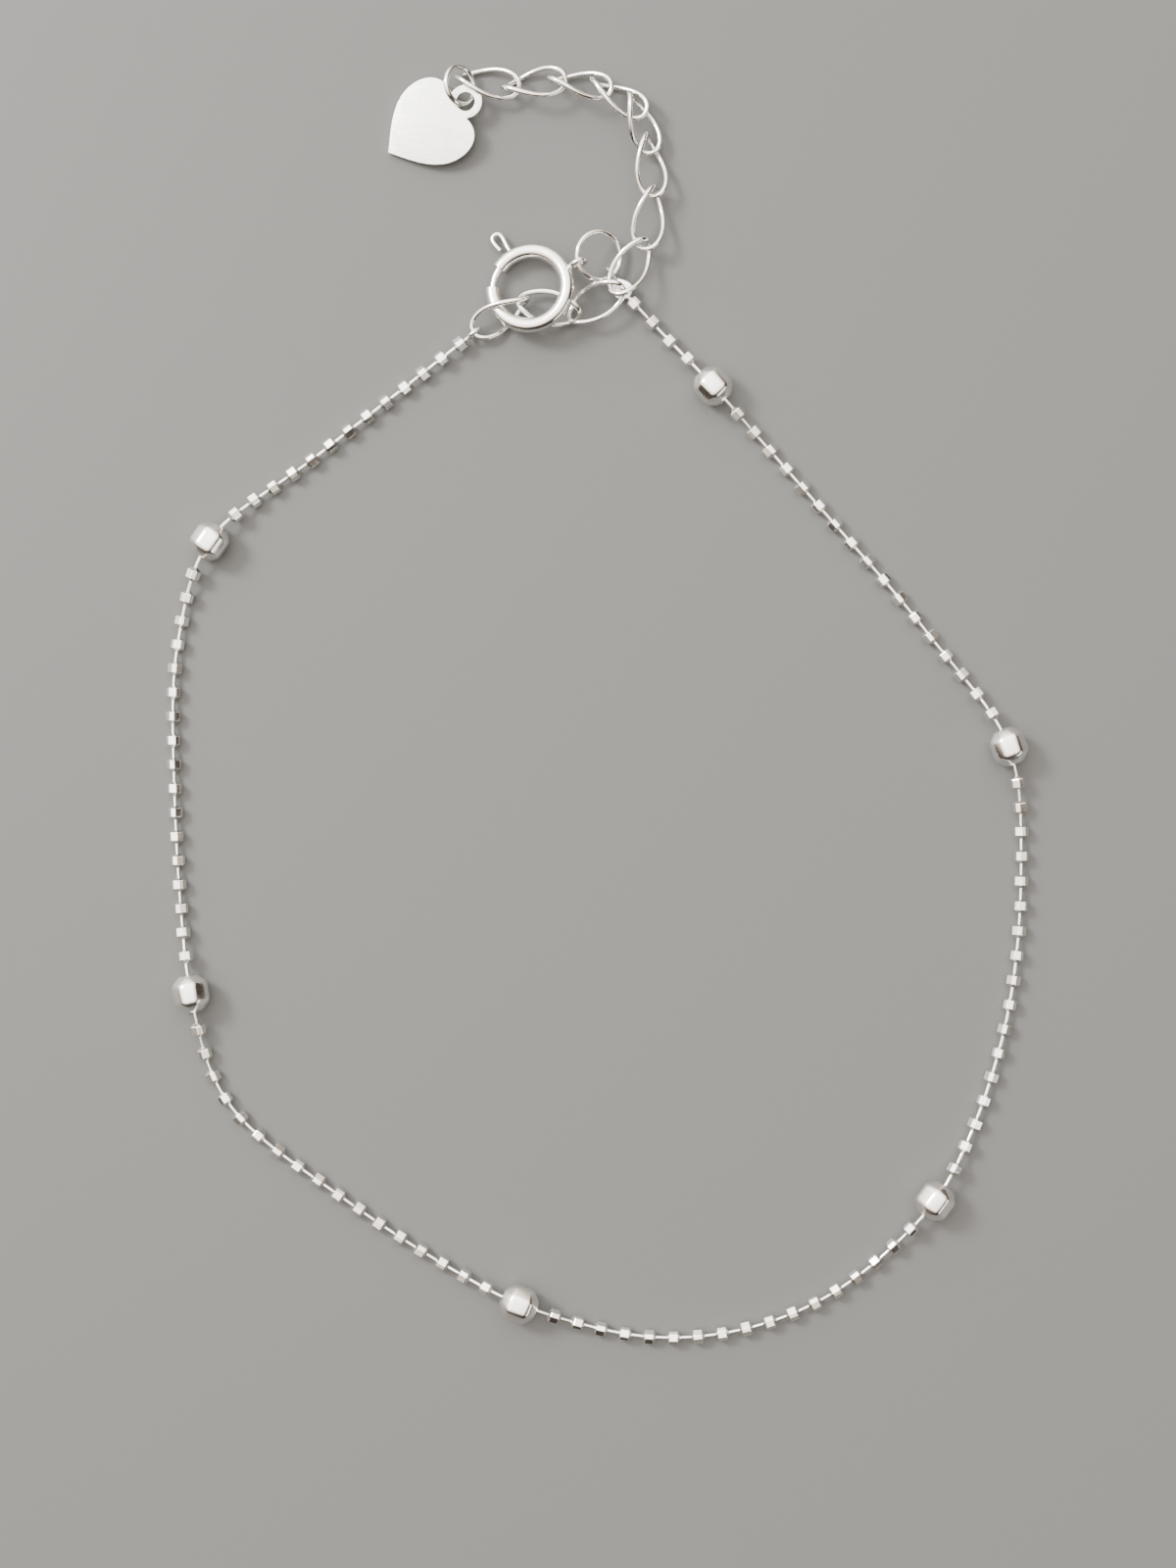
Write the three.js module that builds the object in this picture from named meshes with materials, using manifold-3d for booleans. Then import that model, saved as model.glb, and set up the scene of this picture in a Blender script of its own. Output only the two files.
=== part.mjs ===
// Bead chain bracelet in polished silver: a chain of small cut beads fixed along a wire, six larger
// cut station beads, a spring ring clasp with a sliding gate, and an extender of twisted links that
// ends in a heart tag. It lies open on a flat surface. Units are millimetres, +Z is up, and the
// origin is the middle of the bracelet on the surface it lies on.
import * as THREE from "three";
import { mergeVertices } from "three/addons/utils/BufferGeometryUtils.js";
import Module from "manifold-3d";

const manifold = await Module();
manifold.setup();

// Small beads, fixed along the chain's wire: square with cut edges, tapered to the wire at both ends.
// Every second bead lies on one of its cut edges.
const WIRE_RADIUS = 0.13;
const BEAD_RADIUS = 0.46;
const BEAD_LENGTH = 0.88;
const BELT_LENGTH = 0.5;
const CHAIN_FLATS = 4;
const CHAIN_CORNERS = 2 * CHAIN_FLATS;
const WIRE_FLAT_ANGLE = Math.PI / CHAIN_FLATS;
const WIDE_FLAT_ANGLE = THREE.MathUtils.degToRad(56);
const NARROW_FLAT_ANGLE = 2 * WIRE_FLAT_ANGLE - WIDE_FLAT_ANGLE;
const BEAD_REST_HEIGHT = BEAD_RADIUS * Math.cos(NARROW_FLAT_ANGLE / 2);

// Station beads, drilled along the chain: a cube with its edges and corners cut.
const STATION_WIDTH = 2.15;
const STATION_LENGTH = 2.3;
const STATION_CORNER_CUT = 0.6;
const STATION_END_CUT = 0.56;
const STATION_BORE_RADIUS = 0.42;
const STATION_TO_BEAD = 2.25;
const LIFT_REACH = 5.2;
const CHAIN_MEETING_GAP = 0.3;

// Route of the chain on the surface, from the left end round to the right end. A row with a roll is a
// station bead, turned by that many degrees about the chain; beads is the number of small beads
// between it and the station or end before it.
const ROUTE = [
  { x: -7.75, y: 22.45 },
  { x: -17.04, y: 15.21 },
  { x: -23.52, y: 9.99, roll: 0, beads: 13 },
  { x: -25.5, y: 3.87 },
  { x: -25.72, y: -5.2 },
  { x: -24.66, y: -17.61, roll: 45, beads: 17 },
  { x: -22.6, y: -24.1 },
  { x: -15.72, y: -29.97 },
  { x: -4.62, y: -36.57, roll: 0, beads: 17 },
  { x: 4.8, y: -38.73 },
  { x: 13.5, y: -36.6 },
  { x: 20.76, y: -30.27, roll: 45, beads: 17 },
  { x: 24.78, y: -21.03 },
  { x: 26.1, y: -10.23 },
  { x: 25.26, y: -2.55, roll: 0, beads: 17 },
  { x: 20.46, y: 4.29 },
  { x: 13.6, y: 12.3 },
  { x: 7.2, y: 19.47, roll: 0, beads: 17 },
  { x: 1.98, y: 24.99, beads: 4 },
];
const MEETING_STATION = 2;
const ROUTE_STEPS = 60;
const END_TO_BEAD = 0.62;

// Upright wire eyes at both ends of the chain. On the right a leaf-shaped tab carries the eye.
const END_EYE_RADIUS = 0.46;
const END_EYE_HEIGHT = 0.72;
const END_EYE_SIDES = 12;
const WIRE_SIDES = 6;
const TAB_LENGTH = 1.3;
const TAB_WIDTH = 1.1;
const TAB_THICKNESS = 0.3;
const TAB_HEADING = 126;

// Twisted oval links of the extender.
const LINK_WIRE_RADIUS = 0.17;
const LINK_PITCH = 3.42;
const LINK_WIDTH = 2.3;
const LINK_GAP = 0.1;
const LINK_FULLNESS = 0.8;
const LINK_TWIST = THREE.MathUtils.degToRad(45);
const LINK_SIDES = 16;
const LINK_WIRE_SIDES = 6;
const EXTENDER_START = new THREE.Vector3(-7.15, 22.95, 0.8);

// One row for each link, from the left end of the chain to the heart tag: heading and roll in degrees,
// the step to the next link and the rise over that step in millimetres.
const EXTENDER_LINKS = [
  { heading: 31, step: 3.25, rise: 0.26, roll: 46 },
  { heading: -13, step: 3.25, rise: -0.4, roll: 6 },
  { heading: 28, step: 3.05, rise: 1.06, roll: 0 },
  { heading: 58, step: 3.4, rise: -0.42, roll: 13 },
  { heading: 81, step: 3.25, rise: -0.14, roll: 30 },
  { heading: 97, step: 3.3, rise: -0.24, roll: 35 },
  { heading: 112, step: 2.1, rise: 0.34, roll: 42 },
  { heading: 148, step: 2.3, rise: -0.18, roll: 42 },
  { heading: 172, step: 2.8, rise: 0.14, roll: 43 },
  { heading: 186, step: 2.85, rise: -0.3, roll: 34 },
  { heading: 170, step: 2.85, rise: -0.02, roll: 28 },
];

// Spring ring clasp. Angles are in degrees round the ring, from +X towards +Y.
const CLASP_CENTRE = new THREE.Vector3(-3.96, 25.41, 1.28);
const CLASP_SLOPE_X = 0.22;
const CLASP_SLOPE_Y = -0.12;
const CLASP_RADIUS = 2.32;
const TUBE_RADIUS = 0.45;
const TUBE_BORE_RADIUS = 0.35;
const TUBE_START = 178;
const TUBE_END = 506;
const TUBE_STEPS = 26;
const TUBE_SIDES = 12;
const SLOT_WIDTH = 0.46;
const SLOT_START = 74;
const SLOT_END = 127;
const GATE_RADIUS = 0.22;
const GATE_TAIL = 106;
const GATE_TIP = 183;
const GATE_SIDES = 10;
const LEVER_ANGLE = 119;
const LEVER_WIRE_RADIUS = 0.14;
const LEVER_REACH = 4.1;
const LEVER_WIDTH = 0.62;
const LEVER_FOOT = 3.02;
const CLASP_EYE_ANGLE = 25;
const CLASP_EYE_RADIUS = 0.46;
const CLASP_EYE_WIRE_RADIUS = 0.16;

// Jump ring between the clasp's eye and the eye on the right end of the chain.
const JUMP_RING_RADIUS = 1.46;
const JUMP_RING_CENTRE = new THREE.Vector3(0.25, 27.38, 1.2);
const JUMP_RING_SLOPE_X = -0.48;
const JUMP_RING_SLOPE_Y = 0.1;

// Heart tag with its eyelet, and the ring that holds it.
const HEART_TIP = new THREE.Vector3(-12.6, 33.85, 0.12);
const HEART_HEADING = 32;
const HEART_CLIMB = 8;
const HEART_THICKNESS = 0.2;
const HEART_EDGE = 0.1;
const EYELET_OFFSET = 5.65;
const EYELET_RADIUS = 1.0;
const EYELET_HOLE_RADIUS = 0.58;
const TAG_RING_RADIUS = 1.15;
const TAG_RING_CENTRE = new THREE.Vector3(-8.22, 37.76, 1.31);
const TAG_RING_HEADING = 94;
const TAG_RING_TILT = 45;

const SILVER = { color: 0xd9d7d2, metalness: 1, roughness: 0.2 };

const bracelet = new THREE.Group();
bracelet.name = "bead_chain_bracelet";

const radians = THREE.MathUtils.degToRad;

// Joins doubled points, so that neighbouring faces share their edges.
function welded(geometry) {
  const bare = geometry.clone();
  bare.deleteAttribute("normal");
  bare.deleteAttribute("uv");
  return mergeVertices(bare, 1e-5);
}

function toSolid(geometry) {
  const bare = welded(geometry);
  const mesh = new manifold.Mesh({
    numProp: 3,
    vertProperties: new Float32Array(bare.attributes.position.array),
    triVerts: new Uint32Array(bare.index.array),
  });
  return new manifold.Manifold(mesh);
}

function toGeometry(solid) {
  const mesh = solid.getMesh();
  const geometry = new THREE.BufferGeometry();
  geometry.setAttribute("position", new THREE.BufferAttribute(mesh.vertProperties, 3));
  geometry.setIndex(new THREE.BufferAttribute(mesh.triVerts, 1));
  return geometry;
}

function addPart(name, geometry) {
  const material = new THREE.MeshStandardMaterial({ ...SILVER, name: "silver" });
  const mesh = new THREE.Mesh(geometry, material);
  mesh.name = name;
  bracelet.add(mesh);
  return mesh;
}

function circleShape(radius, sides) {
  const shape = new THREE.Shape();
  for (let i = 0; i < sides; i += 1) {
    const angle = (2 * Math.PI * (i + 0.5)) / sides;
    const x = radius * Math.cos(angle);
    const y = radius * Math.sin(angle);
    if (i === 0) {
      shape.moveTo(x, y);
    } else {
      shape.lineTo(x, y);
    }
  }
  shape.closePath();
  return shape;
}

// A closed wire loop that runs round a full oval along X; its two ends turn opposite ways about X.
class TwistedOval extends THREE.Curve {
  constructor(halfLength, halfWidth, twist) {
    super();
    this.halfLength = halfLength;
    this.halfWidth = halfWidth;
    this.twist = twist;
  }

  getPoint(t, target = new THREE.Vector3()) {
    const along = Math.cos(2 * Math.PI * t);
    const sine = Math.sin(2 * Math.PI * t);
    const across = this.halfWidth * Math.sign(sine) * Math.abs(sine) ** LINK_FULLNESS;
    const turn = this.twist * along;
    return target.set(this.halfLength * along, across * Math.cos(turn), across * Math.sin(turn));
  }
}

// An arc of the clasp's ring, in the plane of the ring.
class RingArc extends THREE.Curve {
  constructor(radius, start, end) {
    super();
    this.radius = radius;
    this.start = radians(start);
    this.end = radians(end);
  }

  getPoint(t, target = new THREE.Vector3()) {
    const angle = this.start + (this.end - this.start) * t;
    return target.set(this.radius * Math.cos(angle), this.radius * Math.sin(angle), 0);
  }
}

// Turns a flat XY shape so that it lies on a plane of the given slopes.
function slopeTurn(slopeX, slopeY) {
  const normal = new THREE.Vector3(-slopeX, -slopeY, 1).normalize();
  return new THREE.Quaternion().setFromUnitVectors(new THREE.Vector3(0, 0, 1), normal);
}

// Chain route: arc lengths of the stations and ends along one smooth curve.
const routeCurve = new THREE.CatmullRomCurve3(ROUTE.map((row) => new THREE.Vector3(row.x, row.y, 0)));
routeCurve.arcLengthDivisions = (ROUTE.length - 1) * ROUTE_STEPS;
const routeLengths = routeCurve.getLengths();
const routeLength = routeCurve.getLength();
const lengthAt = (row) => routeLengths[row * ROUTE_STEPS];

function stationHeight(roll) {
  const half = STATION_WIDTH / 2;
  const cornerDistance = (2 * half - STATION_CORNER_CUT) * Math.SQRT1_2;
  return roll === 0 ? half : cornerDistance;
}

const stations = [];
ROUTE.forEach((row, index) => {
  if (row.roll !== undefined) {
    stations.push({ along: lengthAt(index), roll: row.roll, height: stationHeight(row.roll) });
  }
});

// Heights that the chain has to pass: each station's bore, and the eyes at both ends.
const heldHeights = stations.map(({ along, height }) => ({ along, height }));
heldHeights.push({ along: 0, height: END_EYE_HEIGHT });
heldHeights.push({ along: routeLength, height: END_EYE_HEIGHT });

function chainHeight(along) {
  let height = BEAD_REST_HEIGHT;
  for (const held of heldHeights) {
    const share = Math.min(Math.abs(along - held.along) / LIFT_REACH, 1);
    height += (held.height - BEAD_REST_HEIGHT) * Math.cos((share * Math.PI) / 2) ** 2;
  }
  return height;
}

function chainPoint(along) {
  const clamped = Math.min(Math.max(along / routeLength, 0), 1);
  const point = routeCurve.getPointAt(clamped);
  point.z = chainHeight(along);
  return point;
}

function chainDirection(along) {
  const before = chainPoint(Math.max(along - 0.05, 0));
  const after = chainPoint(Math.min(along + 0.05, routeLength));
  return after.sub(before).normalize();
}

// Arc lengths of the small beads, evenly spread over each stretch between stations and ends.
const beadStops = [];
let stretchStart = END_TO_BEAD;
ROUTE.forEach((row, index) => {
  if (row.beads === undefined) {
    return;
  }
  const isStation = row.roll !== undefined;
  const stretchEnd = lengthAt(index) - (isStation ? STATION_TO_BEAD : END_TO_BEAD);
  for (let i = 0; i < row.beads; i += 1) {
    beadStops.push(stretchStart + ((stretchEnd - stretchStart) * i) / (row.beads - 1));
  }
  stretchStart = lengthAt(index) + STATION_TO_BEAD;
});

// The corners of one cross-section of the chain: flats of the given angle, one of them on top, and
// other flats between them.
function crossSection(along, radius, flatAngle) {
  const direction = chainDirection(along);
  const side = new THREE.Vector3(-direction.y, direction.x, 0).normalize();
  const up = new THREE.Vector3().crossVectors(direction, side);
  const centre = chainPoint(along);
  const corners = [];
  for (let i = 0; i < CHAIN_FLATS; i += 1) {
    const flat = Math.PI / 2 + (2 * Math.PI * i) / CHAIN_FLATS;
    for (const angle of [flat - flatAngle / 2, flat + flatAngle / 2]) {
      const corner = centre.clone();
      corner.addScaledVector(side, radius * Math.cos(angle));
      corner.addScaledVector(up, radius * Math.sin(angle));
      corners.push(corner);
    }
  }
  return corners;
}

// Closed skin through a row of cross-sections, with flat ends.
function skin(sections) {
  const positions = [];
  const triangles = [];
  for (const corner of sections.flat()) {
    positions.push(corner.x, corner.y, corner.z);
  }
  for (let s = 0; s + 1 < sections.length; s += 1) {
    const from = s * CHAIN_CORNERS;
    const to = from + CHAIN_CORNERS;
    for (let i = 0; i < CHAIN_CORNERS; i += 1) {
      const next = (i + 1) % CHAIN_CORNERS;
      triangles.push(from + i, from + next, to + next);
      triangles.push(from + i, to + next, to + i);
    }
  }
  const last = (sections.length - 1) * CHAIN_CORNERS;
  for (let i = 1; i + 1 < CHAIN_CORNERS; i += 1) {
    triangles.push(0, i + 1, i);
    triangles.push(last, last + i, last + i + 1);
  }
  const geometry = new THREE.BufferGeometry();
  geometry.setAttribute("position", new THREE.Float32BufferAttribute(positions, 3));
  geometry.setIndex(triangles);
  return geometry;
}

// One length of the chain: the wire with every bead and every station passage between two places.
function chainLength(from, to) {
  const stops = [{ along: from }];
  beadStops.forEach((along, index) => {
    if (along > from && along < to) {
      stops.push({ along, beadFlat: index % 2 === 0 ? WIDE_FLAT_ANGLE : NARROW_FLAT_ANGLE });
    }
  });
  for (const station of stations) {
    if (station.along > from && station.along < to) {
      stops.push({ along: station.along });
    }
  }
  stops.push({ along: to });
  stops.sort((a, b) => a.along - b.along);
  const sections = [];
  for (const { along, beadFlat } of stops) {
    if (beadFlat === undefined) {
      sections.push(crossSection(along, WIRE_RADIUS, WIRE_FLAT_ANGLE));
    } else {
      sections.push(crossSection(along - BEAD_LENGTH / 2, WIRE_RADIUS, WIRE_FLAT_ANGLE));
      sections.push(crossSection(along - BELT_LENGTH / 2, BEAD_RADIUS, beadFlat));
      sections.push(crossSection(along + BELT_LENGTH / 2, BEAD_RADIUS, beadFlat));
      sections.push(crossSection(along + BEAD_LENGTH / 2, WIRE_RADIUS, WIRE_FLAT_ANGLE));
    }
  }
  return skin(sections);
}

// An upright wire eye whose near side sits at a place on the chain's end, facing along a heading.
function uprightEye(place, heading) {
  const eye = new THREE.TorusGeometry(END_EYE_RADIUS, WIRE_RADIUS, WIRE_SIDES, END_EYE_SIDES);
  eye.rotateX(Math.PI / 2);
  eye.translate(END_EYE_RADIUS, 0, 0);
  eye.rotateZ(heading);
  eye.translate(place.x, place.y, place.z);
  return eye;
}

// Left part of the chain, with a wire eye soldered on its end.
const meeting = stations[MEETING_STATION].along;
const leftChain = toSolid(chainLength(0, meeting - CHAIN_MEETING_GAP / 2));
const leftDirection = chainDirection(0);
const leftEye = uprightEye(chainPoint(0), Math.atan2(-leftDirection.y, -leftDirection.x));
addPart("bead_chain_left", toGeometry(leftChain.add(toSolid(leftEye))));

// Right part of the chain, with a leaf-shaped tab and a wire eye soldered on its end.
const tabShape = new THREE.Shape();
tabShape.moveTo(-WIRE_RADIUS, -WIRE_RADIUS);
const tabWide = TAB_LENGTH * 0.2;
const tabNarrow = TAB_LENGTH * 0.7;
tabShape.bezierCurveTo(tabWide, -TAB_WIDTH, tabNarrow, -TAB_WIDTH * 0.4, TAB_LENGTH, -WIRE_RADIUS);
tabShape.lineTo(TAB_LENGTH, WIRE_RADIUS);
tabShape.bezierCurveTo(tabNarrow, TAB_WIDTH * 0.4, tabWide, TAB_WIDTH, -WIRE_RADIUS, WIRE_RADIUS);
const tab = new THREE.ExtrudeGeometry(tabShape, {
  depth: TAB_THICKNESS,
  bevelEnabled: false,
  curveSegments: 8,
});
const tabFoot = chainPoint(routeLength);
tab.translate(0, 0, -TAB_THICKNESS / 2);
tab.rotateZ(radians(TAB_HEADING));
tab.translate(tabFoot.x, tabFoot.y, tabFoot.z);
const rightEyePlace = tabFoot.clone();
rightEyePlace.x += (TAB_LENGTH - WIRE_RADIUS) * Math.cos(radians(TAB_HEADING));
rightEyePlace.y += (TAB_LENGTH - WIRE_RADIUS) * Math.sin(radians(TAB_HEADING));
const rightEye = uprightEye(rightEyePlace, radians(TAB_HEADING));
const rightChain = toSolid(chainLength(meeting + CHAIN_MEETING_GAP / 2, routeLength));
addPart("bead_chain_right", toGeometry(rightChain.add(toSolid(tab)).add(toSolid(rightEye))));

// Station beads: a square bar with cut edges, its ends cut back, drilled from end to end.
const half = STATION_WIDTH / 2;
const flat = half - STATION_CORNER_CUT;
const stationShape = new THREE.Shape();
stationShape.moveTo(half, -flat);
stationShape.lineTo(half, flat);
stationShape.lineTo(flat, half);
stationShape.lineTo(-flat, half);
stationShape.lineTo(-half, flat);
stationShape.lineTo(-half, -flat);
stationShape.lineTo(-flat, -half);
stationShape.lineTo(flat, -half);
stationShape.closePath();
const stationBody = new THREE.ExtrudeGeometry(stationShape, {
  depth: STATION_LENGTH - 2 * STATION_END_CUT,
  bevelEnabled: true,
  bevelSegments: 1,
  bevelThickness: STATION_END_CUT,
  bevelSize: STATION_END_CUT,
  bevelOffset: -STATION_END_CUT,
});
stationBody.translate(0, 0, -STATION_LENGTH / 2 + STATION_END_CUT);
const stationBore = new THREE.CylinderGeometry(
  STATION_BORE_RADIUS, STATION_BORE_RADIUS, STATION_LENGTH + 1, 10
);
stationBore.rotateX(Math.PI / 2);
const drilled = toGeometry(toSolid(stationBody).subtract(toSolid(stationBore)));
drilled.rotateY(Math.PI / 2);
stations.forEach((station, index) => {
  const mesh = addPart(`station_bead_${index + 1}`, drilled.clone());
  const direction = chainDirection(station.along);
  mesh.position.copy(chainPoint(station.along));
  mesh.rotation.set(radians(station.roll), 0, Math.atan2(direction.y, direction.x), "ZYX");
});

// Extender: each link starts where the link before it ends.
const linkCurve = new TwistedOval(
  LINK_PITCH / 2 + LINK_WIRE_RADIUS + LINK_GAP / 2,
  LINK_WIDTH / 2 - LINK_WIRE_RADIUS,
  LINK_TWIST
);
const joint = EXTENDER_START.clone();
EXTENDER_LINKS.forEach((row, index) => {
  const loop = new THREE.TubeGeometry(linkCurve, LINK_SIDES, LINK_WIRE_RADIUS, LINK_WIRE_SIDES, true);
  const mesh = addPart(`extender_link_${index + 1}`, loop);
  const climb = Math.asin(row.rise / row.step);
  const level = row.step * Math.cos(climb);
  const next = joint.clone();
  next.x += level * Math.cos(radians(row.heading));
  next.y += level * Math.sin(radians(row.heading));
  next.z += row.rise;
  mesh.position.copy(joint).add(next).multiplyScalar(0.5);
  mesh.rotation.set(radians(row.roll), -climb, radians(row.heading), "ZYX");
  joint.copy(next);
});

// Clasp ring: a bent tube with a slot for the lever and a soldered eye.
const tubeShape = circleShape(TUBE_RADIUS, TUBE_SIDES);
tubeShape.holes.push(circleShape(TUBE_BORE_RADIUS, TUBE_SIDES));
const tube = new THREE.ExtrudeGeometry(tubeShape, {
  steps: TUBE_STEPS,
  extrudePath: new RingArc(CLASP_RADIUS, TUBE_START, TUBE_END),
});
const slotShape = new THREE.Shape();
slotShape.moveTo(-SLOT_WIDTH / 2, -2 * TUBE_RADIUS);
slotShape.lineTo(SLOT_WIDTH / 2, -2 * TUBE_RADIUS);
slotShape.lineTo(SLOT_WIDTH / 2, 0);
slotShape.lineTo(-SLOT_WIDTH / 2, 0);
slotShape.closePath();
const slot = new THREE.ExtrudeGeometry(slotShape, {
  steps: 6,
  extrudePath: new RingArc(CLASP_RADIUS, SLOT_START, SLOT_END),
});
const claspEye = new THREE.TorusGeometry(CLASP_EYE_RADIUS, CLASP_EYE_WIRE_RADIUS, WIRE_SIDES, END_EYE_SIDES);
claspEye.rotateX(Math.PI / 2);
claspEye.translate(CLASP_RADIUS + TUBE_BORE_RADIUS + CLASP_EYE_RADIUS + CLASP_EYE_WIRE_RADIUS, 0, 0);
claspEye.rotateZ(radians(CLASP_EYE_ANGLE));
const claspSolid = toSolid(tube).subtract(toSolid(slot)).add(toSolid(claspEye));
const claspTurn = slopeTurn(CLASP_SLOPE_X, CLASP_SLOPE_Y);
const claspRing = addPart("clasp_ring", toGeometry(claspSolid));
claspRing.position.copy(CLASP_CENTRE);
claspRing.quaternion.copy(claspTurn);

// Gate: the wire that closes the ring, with the hairpin lever soldered on it.
const gateWire = new THREE.ExtrudeGeometry(circleShape(GATE_RADIUS, GATE_SIDES), {
  steps: 9,
  extrudePath: new RingArc(CLASP_RADIUS, GATE_TAIL, GATE_TIP),
});
const leverPath = new THREE.CatmullRomCurve3([
  new THREE.Vector3(CLASP_RADIUS, 0, 0),
  new THREE.Vector3(LEVER_FOOT, 0, 0),
  new THREE.Vector3(LEVER_REACH - LEVER_WIDTH / 2, 0, 0),
  new THREE.Vector3(LEVER_REACH, LEVER_WIDTH / 2, 0),
  new THREE.Vector3(LEVER_REACH - LEVER_WIDTH / 2, LEVER_WIDTH, 0),
  new THREE.Vector3(LEVER_FOOT, LEVER_WIDTH * 0.8, 0),
]);
const lever = new THREE.ExtrudeGeometry(circleShape(LEVER_WIRE_RADIUS, WIRE_SIDES), {
  steps: 16,
  extrudePath: leverPath,
});
lever.rotateZ(radians(LEVER_ANGLE));
const gate = addPart("clasp_gate", toGeometry(toSolid(gateWire).add(toSolid(lever))));
gate.position.copy(CLASP_CENTRE);
gate.quaternion.copy(claspTurn);

// Jump ring through the clasp's eye and the tab on the chain.
const jumpRing = addPart(
  "clasp_jump_ring",
  new THREE.TorusGeometry(JUMP_RING_RADIUS, LINK_WIRE_RADIUS, LINK_WIRE_SIDES, LINK_SIDES)
);
jumpRing.position.copy(JUMP_RING_CENTRE);
jumpRing.quaternion.copy(slopeTurn(JUMP_RING_SLOPE_X, JUMP_RING_SLOPE_Y));

// Heart tag: a flat heart from its tip along +X, with a round eyelet in the notch between its lobes.
const heartShape = new THREE.Shape();
heartShape.moveTo(0, 0);
heartShape.bezierCurveTo(0.85, 1.05, 1.9, 2.68, 3.55, 2.68);
heartShape.bezierCurveTo(4.55, 2.68, 5.25, 2.1, 5.2, 1.25);
heartShape.bezierCurveTo(5.15, 0.7, 5, 0.25, 4.85, 0);
heartShape.bezierCurveTo(5, -0.25, 5.15, -0.7, 5.2, -1.25);
heartShape.bezierCurveTo(5.25, -2.1, 4.55, -2.68, 3.55, -2.68);
heartShape.bezierCurveTo(1.9, -2.68, 0.85, -1.05, 0, 0);
const heartOptions = {
  depth: HEART_THICKNESS,
  curveSegments: 6,
  bevelEnabled: true,
  bevelSegments: 1,
  bevelThickness: HEART_EDGE,
  bevelSize: HEART_EDGE,
  bevelOffset: -HEART_EDGE,
};
const heartBody = new THREE.ExtrudeGeometry(heartShape, heartOptions);
const eyeletBody = new THREE.ExtrudeGeometry(circleShape(EYELET_RADIUS, LINK_SIDES), heartOptions);
eyeletBody.translate(EYELET_OFFSET, 0, 0);
const eyeletHole = new THREE.CylinderGeometry(EYELET_HOLE_RADIUS, EYELET_HOLE_RADIUS, 2, LINK_SIDES);
eyeletHole.rotateX(Math.PI / 2);
eyeletHole.translate(EYELET_OFFSET, 0, 0);
const heartSolid = toSolid(heartBody).add(toSolid(eyeletBody)).subtract(toSolid(eyeletHole));
const heart = addPart("heart_tag", toGeometry(heartSolid));
heart.position.copy(HEART_TIP);
heart.rotation.set(0, -radians(HEART_CLIMB), radians(HEART_HEADING), "ZYX");

// Ring that holds the tag on the last link.
const tagRing = addPart(
  "tag_ring",
  new THREE.TorusGeometry(TAG_RING_RADIUS, LINK_WIRE_RADIUS, LINK_WIRE_SIDES, LINK_SIDES)
);
tagRing.position.copy(TAG_RING_CENTRE);
tagRing.rotation.set(radians(TAG_RING_TILT), 0, radians(TAG_RING_HEADING), "ZYX");

export default bracelet;
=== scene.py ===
"""Silver bead chain bracelet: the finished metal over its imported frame, with a stage to show it on."""

import math

import bmesh
import bpy
from mathutils import Euler, Matrix, Vector


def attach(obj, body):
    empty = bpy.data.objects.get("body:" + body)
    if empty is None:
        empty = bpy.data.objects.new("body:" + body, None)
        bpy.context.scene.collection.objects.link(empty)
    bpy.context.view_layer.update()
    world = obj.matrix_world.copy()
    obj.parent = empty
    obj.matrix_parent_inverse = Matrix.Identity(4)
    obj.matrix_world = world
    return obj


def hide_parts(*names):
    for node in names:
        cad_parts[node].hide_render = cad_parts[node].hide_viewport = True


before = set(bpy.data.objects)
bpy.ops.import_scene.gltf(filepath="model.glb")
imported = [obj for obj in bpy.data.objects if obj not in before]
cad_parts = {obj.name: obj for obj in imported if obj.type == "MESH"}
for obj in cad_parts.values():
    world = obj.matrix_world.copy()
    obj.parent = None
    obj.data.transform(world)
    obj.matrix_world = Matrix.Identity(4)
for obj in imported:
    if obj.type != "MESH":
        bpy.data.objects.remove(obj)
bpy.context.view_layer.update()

bl_info = {
    "name": "Bead Chain Bracelet",
    "version": (1, 0, 0),
    "blender": (4, 5, 0),
    "location": "View3D > Sidebar > Bracelet",
    "description": "Models a silver bead chain bracelet over its packed frame",
    "category": "Object",
}

# Every piece is modelled in millimetres and put in place in metres.
MM = 0.001
BRACELET_BODY = "bracelet"
GATE_BODY = "gate"

# Route of the chain in millimetres, from the left end round to the right end. A row with a roll is a
# station bead, and beads counts the small beads between it and the station or end before it.
ROUTE = [
    {"x": -7.75, "y": 22.45},
    {"x": -17.04, "y": 15.21},
    {"x": -23.52, "y": 9.99, "roll": 0, "beads": 13},
    {"x": -25.5, "y": 3.87},
    {"x": -25.72, "y": -5.2},
    {"x": -24.66, "y": -17.61, "roll": 45, "beads": 17},
    {"x": -22.6, "y": -24.1},
    {"x": -15.72, "y": -29.97},
    {"x": -4.62, "y": -36.57, "roll": 0, "beads": 17},
    {"x": 4.8, "y": -38.73},
    {"x": 13.5, "y": -36.6},
    {"x": 20.76, "y": -30.27, "roll": 45, "beads": 17},
    {"x": 24.78, "y": -21.03},
    {"x": 26.1, "y": -10.23},
    {"x": 25.26, "y": -2.55, "roll": 0, "beads": 17},
    {"x": 20.46, "y": 4.29},
    {"x": 13.6, "y": 12.3},
    {"x": 7.2, "y": 19.47, "roll": 0, "beads": 17},
    {"x": 1.98, "y": 24.99, "beads": 4},
]
ROUTE_STEPS = 60
MEETING_STATION = 2
MEETING_GAP = 0.3
STATION_TO_BEAD = 2.25
STATION_CORNER_CUT = 0.6
STATION_END_CUT = 0.56
STATION_BORE_RADIUS = 0.42
STATION_BORE_SIDES = 32
END_TO_BEAD = 0.62
LIFT_REACH = 5.2
REST_HEIGHT = 0.44
END_HEIGHT = 0.72
WIRE_STEP = 0.4
DIRECTION_REACH = 0.05
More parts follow.
